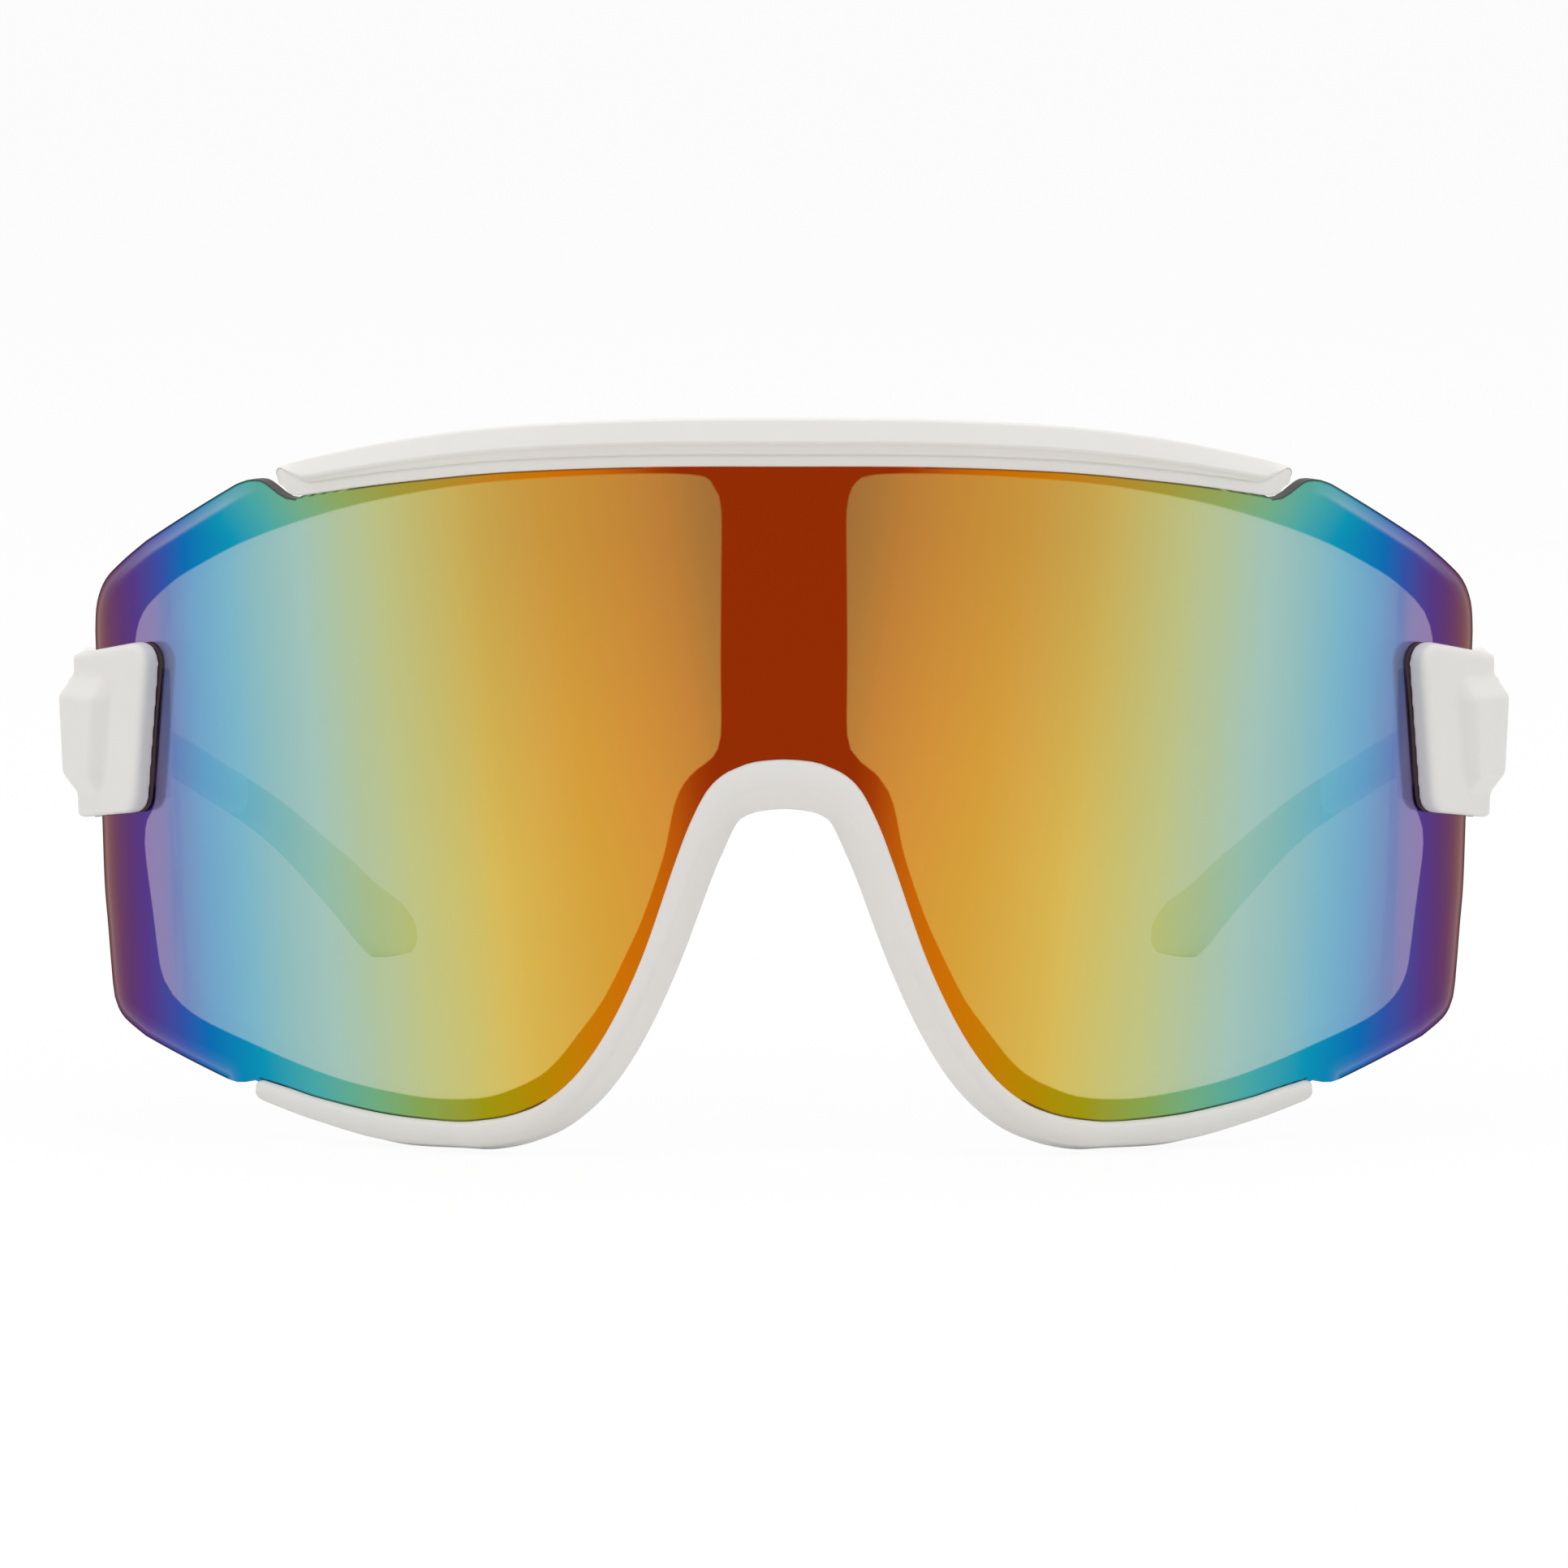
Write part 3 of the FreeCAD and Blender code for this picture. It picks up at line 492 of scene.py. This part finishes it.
def insideLoop(points, loop):
    inside = np.zeros(len(points), bool)
    ends = np.array(loop + loop[:1])
    for (x1, z1), (x2, z2) in zip(ends, ends[1:]):
        crosses = (z1 > points[:, 1]) != (z2 > points[:, 1])
        if z1 != z2:
            inside ^= crosses & (points[:, 0] < x1 + (points[:, 1] - z1) * (x2 - x1) / (z2 - z1))
    return inside


def lensPlate(outline):
    # fine rows run along its edge, for the coat, and a grid inside
    bpy.ops.object.select_all(action="DESELECT")
    bpy.ops.mesh.primitive_circle_add(vertices=len(outline), radius=shield["radius"], fill_type="NGON")
    lens = bpy.context.object
    lens.name = "shieldLens"
    for vertex, (s, z) in zip(lens.data.vertices, outline):
        vertex.co = (s, 0, z)
    bpy.ops.object.mode_set(mode="EDIT")
    bpy.ops.mesh.select_all(action="SELECT")
    for row in lensForm["rows"]:
        bpy.ops.mesh.inset(thickness=row)
    for s in np.arange(-shield["halfArc"], shield["halfArc"], lensForm["step"]):
        bpy.ops.mesh.select_all(action="SELECT")
        bpy.ops.mesh.bisect(plane_co=(s, 0, 0), plane_no=(1, 0, 0))
    for z in np.arange(lensLow.z, lensHigh.z, lensForm["step"]):
        bpy.ops.mesh.select_all(action="SELECT")
        bpy.ops.mesh.bisect(plane_co=(0, 0, z), plane_no=(0, 0, 1))
    bpy.ops.object.mode_set(mode="OBJECT")
    for vertex in lens.data.vertices:
        vertex.co = onShield(vertex.co.x, vertex.co.z, shield["radius"])
    if lens.data.polygons[0].normal.y > 0:
        lens.data.flip_normals()
    for name in ("coat", "lensBack", "lensEdge"):
        lens.data.materials.append(finishes[name])
    applyModifier(lens, "SOLIDIFY", thickness=shield["thickness"], offset=-1, material_offset=1,
                  material_offset_rim=2)
    return lens


def buildLens():
    outline, free = lensOutline()
    lens = lensPlate(outline)
    vertices = lens.data.vertices
    places = np.array([(shield["radius"] * math.atan2(v.co.x, axisY - v.co.y), v.co.z) for v in vertices])
    folded = np.abs(places) * [1, 0] + places * [0, 1]
    # the notch beside the brow bar is cut back behind
    step, reach = lensForm["outlineStep"], lensForm["edgeReach"]
    notch = smoothLine(flatPlaces(lensForm["upperShoulderShares"]), step)
    cuts = lensForm["notchCut"] * np.clip(1 - distances(folded, notch) / reach, 0, 1)
    inner = shield["radius"] - shield["thickness"]
    for vertex, (s, z), cut in zip(vertices, places, cuts):
        if cut and math.hypot(vertex.co.x, vertex.co.y - axisY) < inner + shield["thickness"] / 2:
            vertex.co = onShield(s + math.copysign(cut, s), z, inner)
    # where the coat changes, and the distances to the free edge and the seams that carry the painted
    # highlight and shade, kept on the mesh
    lobeLine = smoothLine([(s * mm, z * mm) for s, z in lensForm["lobe"]], lensForm["lobeStep"], closed=True)
    toLobe = distances(folded, lobeLine, closed=True) * np.where(insideLoop(folded, lobeLine), 1, -1)
    browLine, rimLine = browSeam[lensForm["browFrom"]:], rimSeam[lensForm["rimFrom"]:]
    toSeams = [distances(folded, smoothLine(line, step)) for line in (browLine, rimLine)]
    toEdge = np.minimum(distances(folded, free) / reach, 1)
    toSeam = np.minimum(np.minimum(*toSeams) / reach, 1)
    for name, values in (("lobe", toLobe / mm), ("edge", toEdge), ("seam", toSeam)):
        lens.data.attributes.new(name, "FLOAT", "POINT").data.foreach_set("value", values)
    smoothShade(lens, "lens")
    placePiece(lens, "front", "lens", None, "shield_lens")
    print("lens faces:", len(lens.data.polygons))


buildLens()


# Rim: its section swept along the seam, closing round at both ends
def endRound(distance, reach):
    if distance >= reach:
        return 1.0
    return math.sqrt(max(0.0, 1 - (1 - distance / reach) ** 2))


def withFineEnds(rows, reach, count=15):
    # extra rows near both ends, for their rounding
    table = np.array(rows)
    steps = np.hypot(*np.diff(table[:, :2], axis=0).T)
    lengths = np.concatenate([[0], np.cumsum(steps)])
    total = lengths[-1]
    fine = reach * (1 - np.cos(np.linspace(0, math.pi / 2, count)))
    inner = lengths[(lengths > reach) & (lengths < total - reach)]
    places = np.concatenate([fine, inner, (total - fine)[::-1]])
    columns = [np.interp(places, lengths, column) for column in table.T]
    return list(zip(*columns)), np.minimum(places, total - places)


def buildRim():
    rows = [(-s, z, -a, b) for s, z, a, b in reversed(rimRows[1:])] + rimRows
    rows, toEnds = withFineEnds(smoothLine(rows, rimForm["rowStep"]), rimForm["round"])
    front, lowFront = np.array(rimForm["front"]), np.array(rimForm["lowFront"])
    core = rimForm["core"]
    rings = []
    for (s, z, a, b), toEnd in zip(rows, toEnds):
        grow = max(rimForm["leastGrow"], endRound(toEnd, rimForm["round"]))
        low = np.clip((abs(s) - rimForm["lowFrom"]) / (rimForm["lowTo"] - rimForm["lowFrom"]), 0, 1)
        ring = []
        for q, proud in [*((1 - low) * front + low * lowFront), *rimForm["back"]]:
            share = 0.5 + (q - 0.5) * grow
            r = shield["radius"] + (core + (proud - core) * grow) * mm
            ring.append(onShield(s + a * share, z + b * share, r))
        rings.append(ring)
    rim = loftPiece("lowerRim", rings)
    smoothShade(rim, "bar")
    placePiece(rim, "front", "white_frame", "white", "lower_rim")
    print("rim faces:", len(rim.data.polygons))


buildRim()


# Brow bar: lip, step and crown in one section, drawn up together to the upper corner at each end
def browSection(tall, near, full):
    # how far in front of the lens's face, and how far above the bar's lower edge, in mm
    form = browForm
    step, crown = [b + (a - b) * near for a, b in (form["step"], form["crown"])]
    gap, back = [a + (b - a) * full for a, b in (form["gapShares"], form["back"])]
    first = form["lipTall"] + (form["lipEndShare"] * tall - form["lipTall"]) * near
    second = first + gap * (tall - first)
    low = min(form["roundness"], form["lowShare"] * tall)
    soft = min(form["roundness"], form["softShare"] * (tall - second))
    foot = min(soft, form["footShare"] * (second - first))
    groove = min(form["groove"], form["grooveShare"] * tall)
    lip, front, behind = form["lip"], form["front"], form["behind"]
    lipPart = [(front, 0.0), (0.62, 0.0), (0.84, 0.15 * low), (0.96, 0.5 * low), (lip, first - 0.7 * low),
               (lip + 0.02, first - 0.3 * soft), (lip - 0.04, first)]
    stepPart = [(step - 0.25, first + 0.15 * foot), (step - 0.06, first + 0.4 * foot),
                (step, first + 0.8 * foot), (step + 0.04, first + 0.75 * (second - first)),
                (step + 0.3 * (crown - step), second)]
    crownPart = [(crown - 0.10, second + 0.5 * soft), (crown, second + 0.9 * soft),
                 (crown - 0.10, second + 1.4 * soft), (crown - back, tall - 0.9 * soft),
                 (crown - back - 0.12, tall - 0.35 * soft), (crown - back - 0.36, tall - 0.08 * soft),
                 (crown - back - 0.7, tall)]
    backPart = [(-2.9, tall - 0.8 * low), (-3.6, tall - 1.1 * low), (-4.0, tall - 1.8 * low),
                (-4.15, tall - 2.7 * low), (-4.2, 1.5 * low), (-4.1, 0.5 * low), (-3.8, 0.0)]
    return lipPart + stepPart + crownPart + backPart + [(behind, 0.0), (behind, groove), (front, groove)]


def buildBrow():
    extra = browForm["height"] - browForm["endHeight"]
    half = [(s, z, browForm["endHeight"] + extra * share)
            for (s, z), share in zip(browSeam, browForm["extraShares"])]
    # the top runs on past the seam's end by the lean of the end
    (s1, z1, h1), (s2, z2, h2) = half[-2:]
    on = browForm["lean"] / (s2 - s1)
    half.append((s2 + browForm["lean"], z2 + (z2 - z1) * on, h2 + (h2 - h1) * on))
    rows = [(-s, z, h) for s, z, h in reversed(half[1:])] + half
    rows, toEnds = withFineEnds(smoothLine(rows, browForm["rowStep"]), browForm["taper"])
    core, least = browForm["core"], browForm["leastDepthShare"]
    rings = []
    for (s, z, h), toEnd in zip(rows, toEnds):
        near = max(0.0, 1 - toEnd / browForm["taper"])
        near = near * near * (3 - 2 * near)
        ahead = browForm["slope"] * (browForm["lean"] - toEnd)
        rise = 0.5 * (ahead + math.hypot(ahead, browForm["bend"]))
        rise = min(rise, h - browForm["tip"])
        tall = (h - rise) / mm
        grow = max(browForm["leastGrow"], endRound(toEnd, browForm["round"]))
        depth = least + (1 - least) * grow
        ring = []
        for proud, up in browSection(tall, near, (h - browForm["endHeight"]) / extra):
            r = shield["radius"] + (core + (proud - core) * depth) * mm
            ring.append(onShield(s, z + rise + (tall / 2 + (up - tall / 2) * grow) * mm, r))
        rings.append(ring)
    brow = loftPiece("browBar", rings)
    smoothShade(brow, "bar")
    placePiece(brow, "front", "white_frame", "white", "brow_bar")
    print("brow faces:", len(brow.data.polygons))


buildBrow()


# Side pieces: soft-edged mouldings, arms and pads from the solids
def setSeat(piece, low, high, seat):
    # what lies between two radii of the lens's cylinder is brought to one
    for vertex in piece.data.vertices:
        out = Vector((vertex.co.x, vertex.co.y - axisY, 0))
        if low < out.length < high:
            out *= seat / out.length
            vertex.co = (out.x, axisY + out.y, vertex.co.z)


def mouldedCopy(name, node, voxel, soft, drop=None):
    piece = castCopy(name, node)
    if drop:
        setSeat(piece, **drop)
    applyModifier(piece, "REMESH", mode="VOXEL", voxel_size=voxel)
    applyModifier(piece, "SMOOTH", factor=0.5, iterations=soft)
    smoothShade(piece, "soft")
    return piece


padSeat = {"low": 90.60 * mm, "high": 90.80 * mm, "seat": 90.32 * mm}
mouldings = {"endCover": {"node": "end_cover", "slot": "white_frame", "finish": "white",
                          "voxel": 0.18 * mm, "soft": 22, "drop": padSeat},
             "hingeBlock": {"node": "hinge_block", "slot": "white_frame", "finish": "white",
                            "voxel": 0.16 * mm, "soft": 5},
             "nosePad": {"node": "nose_pad", "slot": "soft_rubber", "finish": "rubber",
                         "voxel": 0.25 * mm, "soft": 12, "fill": 1.0}}
arms = {"templeArm": {"node": "temple", "slot": "white_frame", "finish": "white"},
        "earTip": {"node": "ear_tip", "slot": "soft_rubber", "finish": "rubber"}}
for side in ("left", "right"):
    for name, form in mouldings.items():
        node = form["node"] + "_" + side
        piece = mouldedCopy(name + "_" + side, node, form["voxel"], form["soft"], form.get("drop"))
        placePiece(piece, "front", form["slot"], form["finish"], node)
    for name, form in arms.items():
        node = form["node"] + "_" + side
        piece = castCopy(name + "_" + side, node)
        smoothShade(piece, "arm")
        placePiece(piece, side + "_temple", form["slot"], form["finish"], node)
    pad = castCopy("lensGasket_" + side, "lens_gasket_" + side)
    setSeat(pad, **padSeat)
    smoothShade(pad, "pad")
    placePiece(pad, "front", "gasket", "gasket", "lens_gasket_" + side)
    # the washers stay as the solids have them
    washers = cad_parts["hinge_washers_" + side]
    washers.data.materials.clear()
    washers.data.materials.append(finishes["acetal"])
print("side pieces done")


# Screws: turned, with a hexagon socket in the head
screwForm = {"around": 40, "edge": 0.15 * mm, "socket": 0.62 * mm, "socketDeep": 0.5 * mm,
             "arc": 77.2 * mm, "span": 8.8 * mm, "headRadius": 85.1 * mm, "bite": 91.7 * mm,
             "clamp": {"shank": 0.6 * mm, "head": 1.3 * mm, "headDeep": 0.9 * mm},
             "pin": {"shank": 0.8 * mm, "head": 1.6 * mm, "headDeep": 0.8 * mm}}


def turnedScrew(name, top, way, length, shank, head, headDeep):
    # way points from the head's face to the tip
    edge = screwForm["edge"]
    profile = [(head - edge, 0.0), (head - 0.3 * edge, 0.3 * edge), (head, edge), (head, headDeep),
               (shank, headDeep), (shank, length - edge), (shank - edge, length)]
    turn = Vector((0, 0, 1)).rotation_difference(way).to_matrix()
    angles = [2 * math.pi * i / screwForm["around"] for i in range(screwForm["around"])]
    rings = [[top + turn @ Vector((r * math.cos(a), r * math.sin(a), deep)) for a in angles]
             for r, deep in profile]
    screw = loftPiece(name, rings)
    bpy.ops.object.select_all(action="DESELECT")
    bpy.ops.mesh.primitive_cylinder_add(vertices=6, radius=screwForm["socket"],
                                        depth=2 * screwForm["socketDeep"])
    cutter = bpy.context.object
    for vertex in cutter.data.vertices:
        vertex.co = top + turn @ vertex.co
    applyModifier(screw, "BOOLEAN", operation="DIFFERENCE", object=cutter, solver="EXACT")
    bpy.data.objects.remove(cutter, do_unlink=True)
    smoothShade(screw, "screw")
    return screw


for side, sign in (("left", 1), ("right", -1)):
    pinLow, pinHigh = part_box("hinge_screw_" + side)
    level = (pinLow.z + pinHigh.z - screwForm["pin"]["headDeep"]) / 2
    screws = []
    for i, z in enumerate((level - screwForm["span"] / 2, level + screwForm["span"] / 2)):
        top = onShield(sign * screwForm["arc"], z, screwForm["headRadius"])
        way = (onShield(sign * screwForm["arc"], z, screwForm["bite"]) - top).normalized()
        length = screwForm["bite"] - screwForm["headRadius"]
        screws.append(turnedScrew("clampScrew_%s_%d" % (side, i), top, way, length, **screwForm["clamp"]))
    bpy.ops.object.select_all(action="DESELECT")
    for screw in screws:
        screw.select_set(True)
    bpy.context.view_layer.objects.active = screws[0]
    bpy.ops.object.join()
    screws[0].name = "clampScrews_" + side
    placePiece(screws[0], "front", "steel", "steel", "clamp_screws_" + side)
    top = Vector(((pinLow.x + pinHigh.x) / 2, (pinLow.y + pinHigh.y) / 2, pinHigh.z))
    length = pinHigh.z - pinLow.z
    pin = turnedScrew("hingeScrew_" + side, top, Vector((0, 0, -1)), length, **screwForm["pin"])
    placePiece(pin, "front", "steel", "steel", "hinge_screw_" + side)
print("screws done")


# Stage: pale floor, soft light, camera at the photograph's angle
stage = {"distance": 0.800, "height": 0.12488, "pitch": 6.2, "halfFrame": 966, "focal": 10000,
         "clipEnd": 100, "floorSize": 30.0, "floorColor": "#F4F4F3", "floorRoughness": 0.9,
         # how much of the floor that the eye sees is plain white, the light all round, the lamps' aim
         "floorWhite": 0.94, "ambient": 0.46, "aim": (0, -0.03, 0.035)}


def seenRays(tree):
    # 1 for what the camera sees, straight, mirrored or through the lens
    rays = addNode(tree, "LightPath")
    straight = addNode(tree, "Math", [rays["Is Camera Ray"], rays["Is Glossy Ray"]], operation="MAXIMUM")[0]
    return addNode(tree, "Math", [straight, rays["Is Transmission Ray"]], operation="MAXIMUM")[0]


bpy.ops.object.select_all(action="DESELECT")
bpy.ops.mesh.primitive_plane_add(size=stage["floorSize"])
floor = bpy.context.object
floor.name = "floor"
floorMaterial, tree, shader = newMaterial("pale_floor")
shader.inputs["Base Color"].default_value = hexColor(stage["floorColor"])
shader.inputs["Roughness"].default_value = stage["floorRoughness"]
keep = addNode(tree, "Math", [seenRays(tree), stage["floorWhite"]], operation="MULTIPLY")[0]
white = addNode(tree, "Emission", {"Color": (1, 1, 1, 1), "Strength": 1.0})[0]
mixed = addNode(tree, "MixShader", [keep, shader.outputs[0], white])[0]
tree.links.new(mixed, tree.nodes["Material Output"].inputs["Surface"])
floor.data.materials.append(floorMaterial)

world = bpy.data.worlds.new("studio")
bpy.context.scene.world = world
world.use_nodes = True
tree = world.node_tree
background = tree.nodes["Background"]
background.inputs["Color"].default_value = (1, 1, 1, 1)
strength = addNode(tree, "MapRange", [seenRays(tree), 0.0, 1.0, stage["ambient"], 1.0])[0]
tree.links.new(strength, background.inputs["Strength"])

lamps = {"key": {"place": (-0.95, -0.55, 0.70), "size": 0.8, "power": 3.3},
         "fill": {"place": (0.95, -0.55, 0.70), "size": 0.8, "power": 2.9},
         "top": {"place": (0.0, 0.0, 1.25), "size": 1.0, "power": 8.6}}
for name, lamp in lamps.items():
    data = bpy.data.lights.new(name, "AREA")
    data.size = lamp["size"]
    data.energy = lamp["power"]
    light = bpy.data.objects.new(name, data)
    bpy.context.scene.collection.objects.link(light)
    light.location = lamp["place"]
    light.rotation_euler = (Vector(stage["aim"]) - light.location).to_track_quat("-Z", "Y").to_euler()
    light.visible_glossy = False

cameraData = bpy.data.cameras.new("photoCamera")
camera = bpy.data.objects.new("photoCamera", cameraData)
bpy.context.scene.collection.objects.link(camera)
camera.location = (0, lensLow.y - stage["distance"], stage["height"])
camera.rotation_euler = (math.radians(90 - stage["pitch"]), 0, 0)
cameraData.angle = 2 * math.atan(stage["halfFrame"] / stage["focal"])
cameraData.clip_end = stage["clipEnd"]
bpy.context.scene.camera = camera
bpy.context.scene.view_settings.view_transform = "Standard"
print("stage done")
